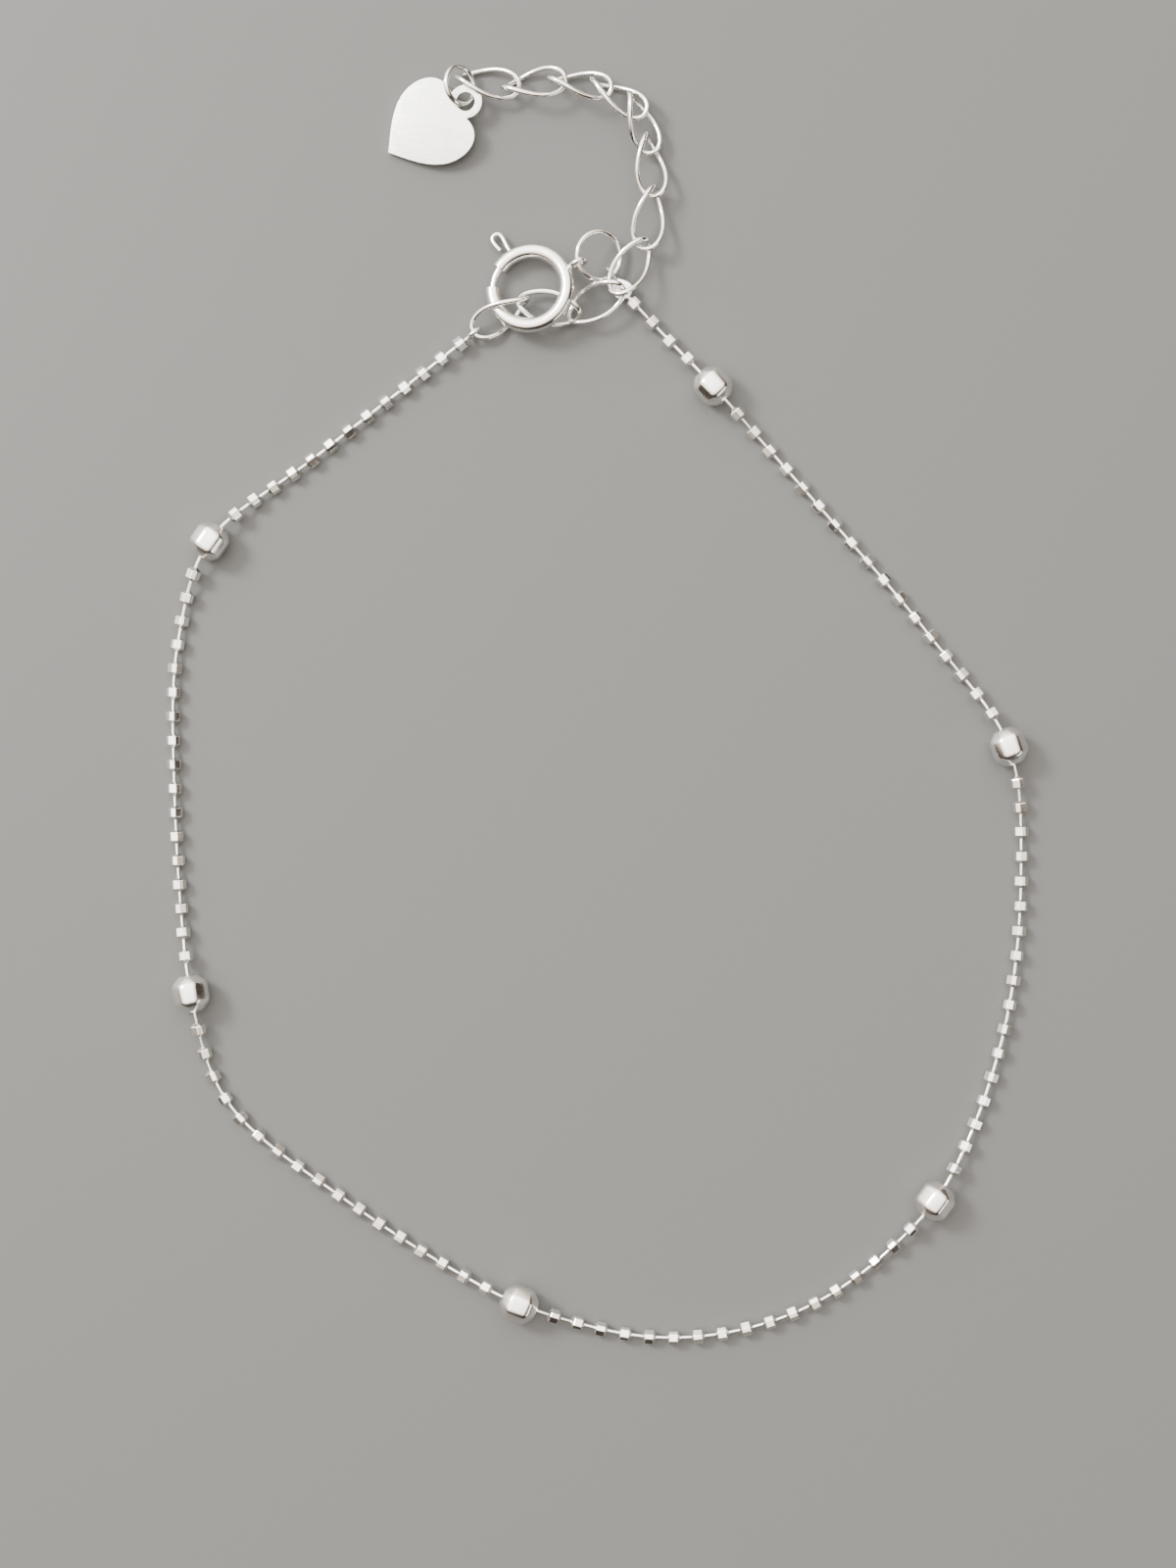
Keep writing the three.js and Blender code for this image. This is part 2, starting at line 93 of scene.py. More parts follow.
BEAD_FLAT_HALF_ANGLE = 28
BEAD_ROLL_STEP = 137.5
BEAD_EDGE = 0.025

# Upright eyes on both ends of the chain, and the leaf-shaped tab that carries the right one.
END_EYE_RADIUS = 0.46
END_EYE_STEPS = 40
END_EYE_SIDES = 12
TAB_LENGTH = 1.3
TAB_WIDTH = 1.1
TAB_THICKNESS = 0.3
TAB_HEADING = 126
TAB_STEPS = 16
TAB_EDGE = 0.09

# Twisted oval links of the extender: heading and roll in degrees, step and rise in millimetres.
LINK_PITCH = 3.42
LINK_WIDTH = 2.3
LINK_GAP = 0.1
LINK_FULLNESS = 0.8
LINK_TWIST = math.radians(45)
LINK_PLACED_RADIUS = 0.17
LINK_STEPS = 60
LINK_FINE_STEPS = 720
EXTENDER_START = Vector((-7.15, 22.95, 0.8))
EXTENDER_LINKS = [
    {"heading": 31, "step": 3.25, "rise": 0.26, "roll": 46},
    {"heading": -13, "step": 3.25, "rise": -0.4, "roll": 6},
    {"heading": 28, "step": 3.05, "rise": 1.06, "roll": 0},
    {"heading": 58, "step": 3.4, "rise": -0.42, "roll": 13},
    {"heading": 81, "step": 3.25, "rise": -0.14, "roll": 30},
    {"heading": 97, "step": 3.3, "rise": -0.24, "roll": 35},
    {"heading": 112, "step": 2.1, "rise": 0.34, "roll": 42},
    {"heading": 148, "step": 2.3, "rise": -0.18, "roll": 42},
    {"heading": 172, "step": 2.8, "rise": 0.14, "roll": 43},
    {"heading": 186, "step": 2.85, "rise": -0.3, "roll": 34},
    {"heading": 170, "step": 2.85, "rise": -0.02, "roll": 28},
]

# Spring ring clasp: angles in degrees round the ring.
CLASP_CENTRE = Vector((-3.96, 25.41, 1.28))
CLASP_SLOPE = (0.22, -0.12)
CLASP_RADIUS = 2.32
TUBE_RADIUS = 0.45
TUBE_WALL = 0.1
TUBE_STEPS = 180
TUBE_SIDES = 24
MOUTH = (146, 178)
SLOT_ARC = (74, 127)
SLOT_HALF_ANGLE = 31
GATE_RADIUS = 0.22
GATE_ARC = (106, 183)
GATE_STEPS = 40
GATE_EDGE = 0.06
LEVER_ANGLE = 119
LEVER_WIRE_RADIUS = 0.14
LEVER_REACH = 4.1
LEVER_WIDTH = 0.62
LEVER_FOOT = 3.02
LEVER_RETURN = 0.8
LEVER_BEND = (-90, -45, 0, 45, 90)
LEVER_STEPS = 10
LEVER_EDGE = 0.04
CLASP_EYE_ANGLE = 25
CLASP_EYE_RADIUS = 0.46
CLASP_EYE_WIRE_RADIUS = 0.16
CLASP_EYE_OFFSET = 3.29
CLASP_EYE_STEPS = 40
CLASP_EYE_SIDES = 14
SOLDER_RADIUS = 0.24
SOLDER_SPREAD = (0.6, 0.9, 1.2, 1.0)

# Jump ring on the clasp and ring on the tag.
JUMP_RING_RADIUS = 1.46
JUMP_RING_CENTRE = Vector((0.25, 27.38, 1.2))
JUMP_RING_SLOPE = (-0.48, 0.1)
TAG_RING_RADIUS = 1.15
TAG_RING_CENTRE = Vector((-8.22, 37.76, 1.31))
TAG_RING_HEADING = 94
TAG_RING_TILT = 45

# Heart tag, from its tip along +X.
HEART_TIP = Vector((-12.6, 33.85, 0.12))
HEART_HEADING = 32
HEART_CLIMB = 8
HEART_THICKNESS = 0.4
HEART_UNDERSIDE = -0.1
HEART_EDGE = 0.11
HEART_STEPS = 14
HEART_SIDE = [
    ((0, 0), (0.85, 1.05), (1.9, 2.68), (3.55, 2.68)),
    ((3.55, 2.68), (4.55, 2.68), (5.25, 2.1), (5.2, 1.25)),
    ((5.2, 1.25), (5.15, 0.7), (5, 0.25), (4.85, 0)),
]
EYELET_OFFSET = 5.65
EYELET_RADIUS = 1.0
EYELET_SIDES = 64
EYELET_HOLE_RADIUS = 0.58
EYELET_HOLE_DEPTH = 2.0
EYELET_HOLE_SIDES = 48

# Shading: edges flatter than these angles in degrees look smooth.
WIRE_SMOOTH = 60
BEAD_SMOOTH = 12
PLATE_SMOOTH = 50
CLASP_SMOOTH = 40

# Silver of each kind: polish is the roughness when clean, the rest are amounts of wear.
WIRE_FINISH = {"polish": 0.10, "tarnish": 0.45, "scratches": 0.25, "dents": 0.25}
CUT_FINISH = {"polish": 0.15, "tarnish": 0.35, "scratches": 0.20, "dents": 0.30}
TAG_FINISH = {"polish": 0.20, "tarnish": 0.75, "scratches": 0.30, "dents": 0.8}
DENT_DEPTH = 0.02 * MM

# Wear texture: scales in waves to the metre, and the part of each noise that shows.
CLOUD_SCALE = 900.0
CLOUD_RANGE = (0.42, 0.72)
CLOUD_DULLING = 0.12
SCRATCH_TURN = (0.3, 0.2, math.radians(37))
SCRATCH_SCALE = (600.0, 9000.0, 9000.0)
SCRATCH_RANGE = (0.58, 0.70)
SCRATCH_DULLING = 0.25
SCRATCH_DEPTH = -0.6

# Floor, in metres.
FLOOR_SIZE = 12.0
FLOOR_ROUGHNESS = 0.55

# Soft box lights: places and sizes in metres, power in watts.
SOFT_BOXES = [
    {"name": "key_soft_box", "place": (-0.40, 0.26, 0.42), "size": (0.16, 0.16), "power": 8.0},
    {"name": "right_strip", "place": (0.5, -0.3, 0.2), "size": (0.5, 0.12), "power": 0.9},
]

# Plain room round the stage: where it is brightest, and its light on both sides.
ROOM_BRIGHT_SIDE = (-0.32, 0.46, 0.83)
ROOM_BRIGHT_COLOUR = (1.0, 0.99, 0.97, 1.0)
ROOM_DIM_COLOUR = (1.0, 0.80, 0.64, 1.0)
ROOM_BRIGHT = 5.5
ROOM_DIM = 0.06
ROOM_EDGE = (0.24, 0.92)

# Camera, over the middle of the picture: the clip distances are in metres.
PICTURE_CENTRE = Vector((-0.42, -4.83, 0.4))
CAMERA_DISTANCE = 200.0
CAMERA_ELEVATION = 90.0
CAMERA_LENS = 75.0
CAMERA_SENSOR = 36.0
CAMERA_CLIP = (0.005, 20.0)


class BraceletChainSettings(bpy.types.PropertyGroup):
    """Sizes of the bead chain and its stations"""

    bead_radius: bpy.props.FloatProperty(
        name="Bead Radius",
        description="Radius of a small bead over its corners",
        default=0.455 * MM,
        precision=6,
        unit="LENGTH",
    )
    bead_length: bpy.props.FloatProperty(
        name="Bead Length",
        description="Length of a small bead along the wire",
        default=0.88 * MM,
        precision=6,
        unit="LENGTH",
    )
    belt_length: bpy.props.FloatProperty(
        name="Belt Length",
        description="Length of the straight belt round a small bead",
        default=0.52 * MM,
        precision=6,
        unit="LENGTH",
    )
    wire_radius: bpy.props.FloatProperty(
        name="Wire Radius",
        description="Radius of the wire between the beads",
        default=0.125 * MM,
        precision=6,
        unit="LENGTH",
    )
    station_width: bpy.props.FloatProperty(
        name="Station Width",
        description="Width of a station bead across its flats",
        default=2.15 * MM,
        precision=6,
        unit="LENGTH",
    )
    station_length: bpy.props.FloatProperty(
        name="Station Length",
        description="Length of a station bead along the chain",
        default=2.3 * MM,
        precision=6,
        unit="LENGTH",
    )
    station_rounding: bpy.props.FloatProperty(
        name="Station Rounding",
        description="How far the polish rounds the cut edges of a station bead",
        default=0.18 * MM,
        precision=6,
        unit="LENGTH",
    )


class BraceletClaspSettings(bpy.types.PropertyGroup):
    """Wire sizes of the extender, the clasp and the tag"""

    link_wire_radius: bpy.props.FloatProperty(
        name="Link Wire Radius",
        description="Radius of the wire of the extender links and jump rings",
        default=0.16 * MM,
        precision=6,
        unit="LENGTH",
    )
    edge_rounding: bpy.props.FloatProperty(
        name="Edge Rounding",
        description="Rounding of the cut edges of the clasp's tube",
        default=0.03 * MM,
        precision=6,
        unit="LENGTH",
    )


class BraceletFinishSettings(bpy.types.PropertyGroup):
    """Colours of the silver and of the stage"""

    silver: bpy.props.FloatVectorProperty(
        name="Silver",
        description="Colour of the clean polished silver",
        subtype="COLOR",
        size=4,
        min=0.0,
        max=1.0,
        default=(0.945, 0.935, 0.905, 1.0),
    )
    tarnish: bpy.props.FloatVectorProperty(
        name="Tarnish",
        description="Colour that handled silver turns to",
        subtype="COLOR",
        size=4,
        min=0.0,
        max=1.0,
        default=(0.80, 0.74, 0.66, 1.0),
    )
    floor: bpy.props.FloatVectorProperty(
        name="Floor",
        description="Colour of the plain floor",
        subtype="COLOR",
        size=4,
        min=0.0,
        max=1.0,
        default=(0.08, 0.08, 0.077, 1.0),
    )
    light: bpy.props.FloatVectorProperty(
        name="Light",
        description="Colour of the soft box lights",
        subtype="COLOR",
        size=3,
        min=0.0,
        max=1.0,
        default=(1.0, 0.985, 0.96),
    )


def start_clean():
    """Leaves nothing selected, so that an operator acts on the next piece alone."""
    if bpy.context.mode != "OBJECT":
        bpy.ops.object.mode_set(mode="OBJECT")
    bpy.ops.object.select_all(action="DESELECT")


def pick(obj):
    """Makes one object the selected and active one."""
    start_clean()
    obj.select_set(True)
    bpy.context.view_layer.objects.active = obj


def open_edit(obj, mode):
    """Opens a mesh in edit mode with nothing selected."""
    pick(obj)
    bpy.ops.object.mode_set(mode="EDIT")
    bpy.ops.mesh.select_mode(type=mode)
    bpy.ops.mesh.select_all(action="DESELECT")


def select_faces(obj, test):
    """Selects the faces whose middle and normal pass a test."""
    mesh = bmesh.from_edit_mesh(obj.data)
    for face in mesh.faces:
        face.select_set(test(face.calc_center_median(), face.normal))
    bmesh.update_edit_mesh(obj.data)


def select_edges(obj, test):
    """Selects the edges whose two ends pass a test."""
    mesh = bmesh.from_edit_mesh(obj.data)
    for edge in mesh.edges:
        edge.select_set(test(edge.verts[0].co, edge.verts[1].co))
    bmesh.update_edit_mesh(obj.data)


def close_edit():
    """Goes back to object mode."""
    bpy.ops.object.mode_set(mode="OBJECT")


def apply_bevel(obj, width, segments, angle):
    """Rounds the edges that are sharper than an angle in degrees."""
    pick(obj)
    bevel = obj.modifiers.new("rounding", "BEVEL")
    bevel.width = width
    bevel.segments = segments
    bevel.limit_method = "ANGLE"
    bevel.angle_limit = math.radians(angle)
    bevel.harden_normals = False
    bpy.ops.object.modifier_apply(modifier=bevel.name)


def apply_boolean(obj, tool, operation):
    """Joins or cuts a piece with a tool and removes the tool."""
    pick(obj)
    boolean = obj.modifiers.new("cut", "BOOLEAN")
    boolean.operation = operation
    boolean.solver = "EXACT"
    boolean.object = tool
    bpy.ops.object.modifier_apply(modifier=boolean.name)
    pick(tool)
    bpy.ops.object.delete()


def mend(obj):
    """Merges doubled points and turns the faces outwards."""
    open_edit(obj, "VERT")
    bpy.ops.mesh.select_all(action="SELECT")
    bpy.ops.mesh.remove_doubles(threshold=0.0005)
    bpy.ops.mesh.normals_make_consistent(inside=False)
    close_edit()


def shade(obj, angle):
    """Smooths the shading across edges flatter than an angle in degrees."""
    pick(obj)
    bpy.ops.object.shade_smooth_by_angle(angle=math.radians(angle))


def copy_of(master, place):
    """A copy with its own mesh, put in place in millimetres."""
    obj = master.copy()
    obj.data = master.data.copy()
    bpy.context.collection.objects.link(obj)
    obj.data.transform(place)
    return obj


def remove(obj):
    """Removes a master once its copies are made."""
    pick(obj)
    bpy.ops.object.delete()


def join(parts):
    """Joins parts into the first of them."""
    start_clean()
    for part in parts:
        part.select_set(True)
    bpy.context.view_layer.objects.active = parts[0]
    bpy.ops.object.join()
    return bpy.context.view_layer.objects.active


def finish_piece(obj, name, node, material, body=BRACELET_BODY):
    """Scales a piece to metres, gives it its finish and puts it in the frame in place of its node."""
    obj.name = name
    obj.data.name = name
    obj.data.transform(Matrix.Scale(MM, 4))
    obj.data.materials.clear()
    obj.data.materials.append(material)
    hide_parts(node)
    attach(obj, body)
    return obj


def wire(points, radius, closed=False, detail=2):
    """A round wire along a row of points."""
    start_clean()
    bpy.ops.curve.primitive_bezier_circle_add(radius=1.0)
    obj = bpy.context.object
    curve = obj.data
    curve.splines.clear()
    spline = curve.splines.new("POLY")
    spline.points.add(len(points) - 1)
    for point, place in zip(spline.points, points):
        point.co = (place[0], place[1], place[2], 1.0)
    spline.use_cyclic_u = closed
    curve.dimensions = "3D"
    curve.fill_mode = "FULL"
    curve.twist_mode = "MINIMUM"
    curve.bevel_depth = radius
    curve.bevel_resolution = detail
    curve.use_fill_caps = not closed
    bpy.ops.object.convert(target="MESH")
    obj = bpy.context.object
    mend(obj)
    return obj


def ring(radius, wire_radius, steps=72, sides=14):
    """A round wire ring in the XY plane."""
    start_clean()
    bpy.ops.mesh.primitive_torus_add(
        major_radius=radius,
        minor_radius=wire_radius,
        major_segments=steps,
        minor_segments=sides,
    )
    return bpy.context.object


def plate(outline, low, high):
    """A flat plate over an outline, between two heights."""
    start_clean()
    bpy.ops.mesh.primitive_circle_add(vertices=len(outline), radius=1.0, fill_type="NGON")
    obj = bpy.context.object
    for vertex, place in zip(obj.data.vertices, outline):
        vertex.co = (place[0], place[1], low)
    open_edit(obj, "FACE")
    bpy.ops.mesh.select_all(action="SELECT")
    bpy.ops.mesh.extrude_region_move(TRANSFORM_OT_translate={"value": (0.0, 0.0, high - low)})
    close_edit()
    mend(obj)
    return obj


def bezier_points(corners, steps):
    """Points along one cubic curve, without its last one."""
    points = []
    for i in range(steps):
        t = i / steps
        weights = ((1 - t) ** 3, 3 * t * (1 - t) ** 2, 3 * t * t * (1 - t), t ** 3)
        x = sum(w * c[0] for w, c in zip(weights, corners))
        y = sum(w * c[1] for w, c in zip(weights, corners))
        points.append((x, y))
    return points


def centripetal(rows, steps):
    """Points on the smooth centripetal curve through rows of places, steps to each span."""
    places = [Vector(row) for row in rows]
    places.insert(0, places[0] * 2 - places[1])
    places.append(places[-1] * 2 - places[-2])
    points = []
    for a, b, c, d in zip(places, places[1:], places[2:], places[3:]):
        before = (b - a).length ** 0.5
        span = (c - b).length ** 0.5
        after = (d - c).length ** 0.5
        start = ((b - a) / before - (c - a) / (before + span) + (c - b) / span) * span
        end = ((c - b) / span - (d - b) / (span + after) + (d - c) / after) * span
        for i in range(steps):
            t = i / steps
            points.append(
                b
                + start * t
                + (c * 3 - b * 3 - start * 2 - end) * t ** 2
                + (b * 2 - c * 2 + start + end) * t ** 3
            )
    points.append(places[-2])
    return points


def slope_turn(slope):
    """Turns a flat XY piece onto a plane of two slopes."""
    normal = Vector((-slope[0], -slope[1], 1.0)).normalized()
    return Vector((0.0, 0.0, 1.0)).rotation_difference(normal).to_matrix().to_4x4()


def turned(roll, climb, heading):
    """Roll about X, then climb, then heading, all in degrees."""
    angles = (math.radians(roll), -math.radians(climb), math.radians(heading))
    return Euler(angles, "XYZ").to_matrix().to_4x4()


class ChainRoute:
    """The chain's line over the floor, with its height over stations and ends."""

    def __init__(self, station_width):
        flat = [(row["x"], row["y"], 0.0) for row in ROUTE]
        self.points = centripetal(flat, ROUTE_STEPS)
        self.lengths = [0.0]
        for before, after in zip(self.points, self.points[1:]):
            self.lengths.append(self.lengths[-1] + (after - before).length)
        self.length = self.lengths[-1]
        self.stations = []
        for index, row in enumerate(ROUTE):
            if "roll" in row:
                self.stations.append({"along": self.along_row(index), "roll": row["roll"]})
        for station in self.stations:
            rolled = (station_width - STATION_CORNER_CUT) * math.sqrt(0.5)
            station["height"] = rolled if station["roll"] else station_width / 2
        self.held = [(station["along"], station["height"]) for station in self.stations]
        self.held += [(0.0, END_HEIGHT), (self.length, END_HEIGHT)]

    def along_row(self, index):
        """Length along the chain at a row of the route."""
        return self.lengths[index * ROUTE_STEPS]

    def place(self, along):
        """The point of the wire at a length along the chain."""
        along = min(max(along, 0.0), self.length)
        low, high = 0, len(self.lengths) - 1
        while high - low > 1:
            middle = (low + high) // 2
            if self.lengths[middle] <= along:
                low = middle
            else:
                high = middle
        share = (along - self.lengths[low]) / (self.lengths[high] - self.lengths[low])
        point = self.points[low].lerp(self.points[high], share)
        point.z = REST_HEIGHT
        for held_along, height in self.held:
            reach = min(abs(along - held_along) / LIFT_REACH, 1.0)
            point.z += (height - REST_HEIGHT) * math.cos(reach * math.pi / 2) ** 2
        return point

    def direction(self, along):
        """The wire's direction at a length along the chain."""
        ahead = self.place(along + DIRECTION_REACH)
        return (ahead - self.place(along - DIRECTION_REACH)).normalized()

    def turn(self, along, roll):
        """Place and turn of a piece on the wire, its axis along X, rolled by degrees."""
        direction = self.direction(along)
        heading = math.degrees(math.atan2(direction.y, direction.x))
        climb = math.degrees(math.asin(direction.z))
        return Matrix.Translation(self.place(along)) @ turned(roll, climb, heading)

    def bead_stops(self):
        """Lengths along the chain of the small beads, evenly spread over each stretch."""
        stops = []
        start = END_TO_BEAD
        for index, row in enumerate(ROUTE):
            if "beads" not in row:
                continue
            end = self.along_row(index) - (STATION_TO_BEAD if "roll" in row else END_TO_BEAD)
            for i in range(row["beads"]):
                stops.append(start + (end - start) * i / (row["beads"] - 1))
            start = self.along_row(index) + STATION_TO_BEAD
        return stops


def silver_wear_group():
    """Shared wear of handled silver: cloudy tarnish, fine scratches and the roughness they leave."""
    group = bpy.data.node_groups.get("silver_wear")
    if group:
        return group
    group = bpy.data.node_groups.new("silver_wear", "ShaderNodeTree")
    face = group.interface
    face.new_socket("Vector", in_out="INPUT", socket_type="NodeSocketVector")
    face.new_socket("Silver", in_out="INPUT", socket_type="NodeSocketColor")
    face.new_socket("Tarnish", in_out="INPUT", socket_type="NodeSocketColor")
    face.new_socket("Tarnish Amount", in_out="INPUT", socket_type="NodeSocketFloat")
    face.new_socket("Polish", in_out="INPUT", socket_type="NodeSocketFloat")
    face.new_socket("Scratches", in_out="INPUT", socket_type="NodeSocketFloat")
    face.new_socket("Colour", in_out="OUTPUT", socket_type="NodeSocketColor")
    face.new_socket("Roughness", in_out="OUTPUT", socket_type="NodeSocketFloat")
    face.new_socket("Height", in_out="OUTPUT", socket_type="NodeSocketFloat")
    nodes = group.nodes
    links = group.links
    given = nodes.new("NodeGroupInput")
    result = nodes.new("NodeGroupOutput")

    clouds = nodes.new("ShaderNodeTexNoise")
    clouds.inputs["Scale"].default_value = CLOUD_SCALE
    clouds.inputs["Detail"].default_value = 4.0
    clouds.inputs["Roughness"].default_value = 0.6
    links.new(given.outputs["Vector"], clouds.inputs["Vector"])
    cloud_range = nodes.new("ShaderNodeMapRange")
    cloud_range.inputs["From Min"].default_value = CLOUD_RANGE[0]
    cloud_range.inputs["From Max"].default_value = CLOUD_RANGE[1]
    links.new(clouds.outputs["Fac"], cloud_range.inputs["Value"])
    tarnish_share = nodes.new("ShaderNodeMath")
    tarnish_share.operation = "MULTIPLY"
    links.new(cloud_range.outputs["Result"], tarnish_share.inputs[0])
    links.new(given.outputs["Tarnish Amount"], tarnish_share.inputs[1])
    colour = nodes.new("ShaderNodeMix")
    colour.data_type = "RGBA"
    links.new(tarnish_share.outputs["Value"], colour.inputs["Factor"])
    links.new(given.outputs["Silver"], colour.inputs[6])
    links.new(given.outputs["Tarnish"], colour.inputs[7])
    links.new(colour.outputs[2], result.inputs["Colour"])

    stretch = nodes.new("ShaderNodeMapping")
    stretch.inputs["Rotation"].default_value = SCRATCH_TURN
    stretch.inputs["Scale"].default_value = SCRATCH_SCALE
    links.new(given.outputs["Vector"], stretch.inputs["Vector"])
    scratches = nodes.new("ShaderNodeTexNoise")
    scratches.inputs["Scale"].default_value = 1.0
    scratches.inputs["Detail"].default_value = 2.0
    links.new(stretch.outputs["Vector"], scratches.inputs["Vector"])
    scratch_range = nodes.new("ShaderNodeMapRange")
    scratch_range.inputs["From Min"].default_value = SCRATCH_RANGE[0]
    scratch_range.inputs["From Max"].default_value = SCRATCH_RANGE[1]
    links.new(scratches.outputs["Fac"], scratch_range.inputs["Value"])
    scratch_share = nodes.new("ShaderNodeMath")
    scratch_share.operation = "MULTIPLY"
    links.new(scratch_range.outputs["Result"], scratch_share.inputs[0])
    links.new(given.outputs["Scratches"], scratch_share.inputs[1])

    dulling = nodes.new("ShaderNodeMath")
    dulling.operation = "MULTIPLY_ADD"
    dulling.inputs[1].default_value = CLOUD_DULLING
    links.new(cloud_range.outputs["Result"], dulling.inputs[0])
    links.new(given.outputs["Polish"], dulling.inputs[2])
    rough = nodes.new("ShaderNodeMath")
    rough.operation = "MULTIPLY_ADD"
    rough.inputs[1].default_value = SCRATCH_DULLING
    links.new(scratch_share.outputs["Value"], rough.inputs[0])
    links.new(dulling.outputs["Value"], rough.inputs[2])
    links.new(rough.outputs["Value"], result.inputs["Roughness"])

    height = nodes.new("ShaderNodeMath")
    height.operation = "MULTIPLY_ADD"
    height.inputs[1].default_value = SCRATCH_DEPTH
    links.new(scratch_share.outputs["Value"], height.inputs[0])
    links.new(clouds.outputs["Fac"], height.inputs[2])
    links.new(height.outputs["Value"], result.inputs["Height"])
    return group


def silver_material(name, polish, tarnish, scratches, dents):
    """A polished silver with its own amount of wear."""
    material = bpy.data.materials.get(name)
    if material:
        return material
    colours = bpy.context.scene.bracelet_finish
    material = bpy.data.materials.new(name)
    material.use_nodes = True
    nodes = material.node_tree.nodes
    links = material.node_tree.links
    shader = nodes["Principled BSDF"]
    shader.inputs["Metallic"].default_value = 1.0
    place = nodes.new("ShaderNodeTexCoord")
    wear = nodes.new("ShaderNodeGroup")
    wear.node_tree = silver_wear_group()
    wear.inputs["Silver"].default_value = colours.silver
    wear.inputs["Tarnish"].default_value = colours.tarnish
    wear.inputs["Tarnish Amount"].default_value = tarnish
    wear.inputs["Polish"].default_value = polish
    wear.inputs["Scratches"].default_value = scratches
    links.new(place.outputs["Object"], wear.inputs["Vector"])
    links.new(wear.outputs["Colour"], shader.inputs["Base Color"])
    links.new(wear.outputs["Roughness"], shader.inputs["Roughness"])
    bump = nodes.new("ShaderNodeBump")
    bump.inputs["Strength"].default_value = dents
    bump.inputs["Distance"].default_value = DENT_DEPTH
    links.new(wear.outputs["Height"], bump.inputs["Height"])
    links.new(bump.outputs["Normal"], shader.inputs["Normal"])
    return material


def wire_silver():
    """Bright drawn wire and tube."""
    return silver_material("bright_wire_silver", **WIRE_FINISH)


def cut_silver():
    """Crisp facets of the beads and stations."""
    return silver_material("cut_bead_silver", **CUT_FINISH)


def tag_silver():
    """Flat sheet of the tag, dulled by handling."""
    return silver_material("handled_tag_silver", **TAG_FINISH)


def model_bead(chain):
    """One small bead along X: square with cut edges, and tapered ends."""
    radius = chain.bead_radius / MM
    belt = chain.belt_length / MM
    end = (chain.bead_length / MM - belt) / 2
    flat_distance = radius * math.cos(math.radians(BEAD_FLAT_HALF_ANGLE))
    corner_cut = flat_distance - radius * math.sin(math.radians(BEAD_FLAT_HALF_ANGLE))
    taper = chain.wire_radius / MM / radius
    start_clean()
    bpy.ops.mesh.primitive_cylinder_add(vertices=4, radius=flat_distance * math.sqrt(2), depth=belt)
    bead = bpy.context.object
    open_edit(bead, "EDGE")
    select_edges(bead, lambda a, b: abs(a.z - b.z) > belt / 2)
    bpy.ops.mesh.bevel(offset=corner_cut, offset_type="OFFSET", segments=1)
    bpy.ops.mesh.select_mode(type="FACE")
    for side in (1, -1):
        bpy.ops.mesh.select_all(action="DESELECT")
        select_faces(bead, lambda middle, normal: normal.z * side > 0.9)
        bpy.ops.mesh.extrude_region_move(TRANSFORM_OT_translate={"value": (0.0, 0.0, side * end)})
        tip = (0.0, 0.0, side * (belt / 2 + end))
        bpy.ops.transform.resize(value=(taper, taper, 1.0), center_override=tip)
    close_edit()
    mend(bead)
    apply_bevel(bead, BEAD_EDGE, 1, 25)
    shade(bead, BEAD_SMOOTH)
    bead.data.transform(Matrix.Rotation(math.pi / 2, 4, "Y"))
    return bead


def upright_eye(place, heading, wire_radius):
    """A wire eye that stands upright, its near side on the chain's end."""
    eye = ring(END_EYE_RADIUS, wire_radius, END_EYE_STEPS, END_EYE_SIDES)
    stand = Matrix.Rotation(math.pi / 2, 4, "X")
    forward = Matrix.Translation((END_EYE_RADIUS, 0.0, 0.0))
    eye.data.transform(Matrix.Translation(place) @ turned(0, 0, heading) @ forward @ stand)
    shade(eye, WIRE_SMOOTH)
    return eye


def leaf_tab(place, wire_radius):
    """The leaf-shaped tab soldered on the right end of the chain."""
    wide = TAB_LENGTH * 0.2
    narrow = TAB_LENGTH * 0.7
    lower = (
        (-wire_radius, -wire_radius),
        (wide, -TAB_WIDTH),
        (narrow, -TAB_WIDTH * 0.4),
        (TAB_LENGTH, -wire_radius),
    )
    upper = tuple((x, -y) for x, y in reversed(lower))
    outline = bezier_points(lower, TAB_STEPS) + [lower[3]]
    outline += bezier_points(upper, TAB_STEPS) + [upper[3]]
    tab = plate(outline, -TAB_THICKNESS / 2, TAB_THICKNESS / 2)
    apply_bevel(tab, TAB_EDGE, 3, 40)
    shade(tab, CLASP_SMOOTH)
    tab.data.transform(Matrix.Translation(place) @ turned(0, 0, TAB_HEADING))
    return tab


